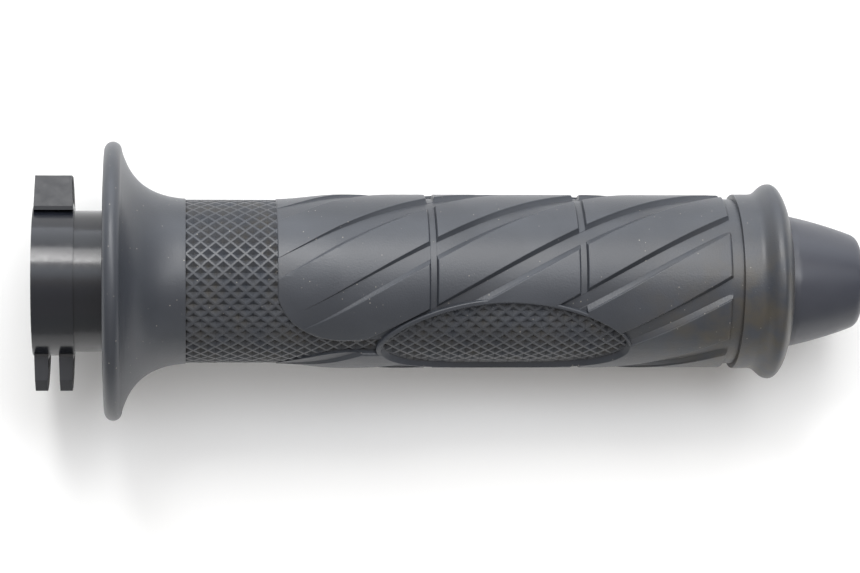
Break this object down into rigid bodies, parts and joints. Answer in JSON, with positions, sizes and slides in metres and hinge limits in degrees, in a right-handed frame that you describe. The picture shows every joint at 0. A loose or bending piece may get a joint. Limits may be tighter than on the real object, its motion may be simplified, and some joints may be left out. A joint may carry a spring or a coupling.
{
  "type": "throttle grip",
  "caption": "Right-hand twist throttle grip: flanged rubber grip with a grooved tread on a plastic sleeve with a cable pulley, and a tapered plug that expands in the handlebar's end.",
  "frame": {"origin": "centre of the handlebar bore in the end face of the cable pulley", "axes": "+X along the handlebar from the pulley to the outer end, +Z out of the side of the grip where the pulley is cut away, +Y towards the block that holds the cable's nipple"},
  "size_m": [0.1535, 0.0514, 0.0514],
  "materials": {
    "sleeve_plastic": "moulded nylon, polished where it turns in its housing",
    "grip_rubber": "matt moulded rubber",
    "plug_plastic": "satin moulded nylon",
    "zinc_steel": "zinc plated",
    "bush_rubber": "matt moulded rubber"
  },
  "bodies": {
    "bar_end": {"bar_end_plug": "plug_plastic", "plug_screw": "zinc_steel", "head_washer": "zinc_steel", "bush_washer": "zinc_steel", "expander_bush": "bush_rubber", "cone_nut": "zinc_steel"},
    "twist_grip": {"throttle_tube": "sleeve_plastic", "grip_rubber": "grip_rubber"}
  },
  "joints": [
    {"name": "throttle_twist", "type": "hinge", "parent": "bar_end", "child": "twist_grip", "pos_m": [0, 0, 0], "axis": [1, 0, 0], "range_deg": [0, 80]}
  ]
}
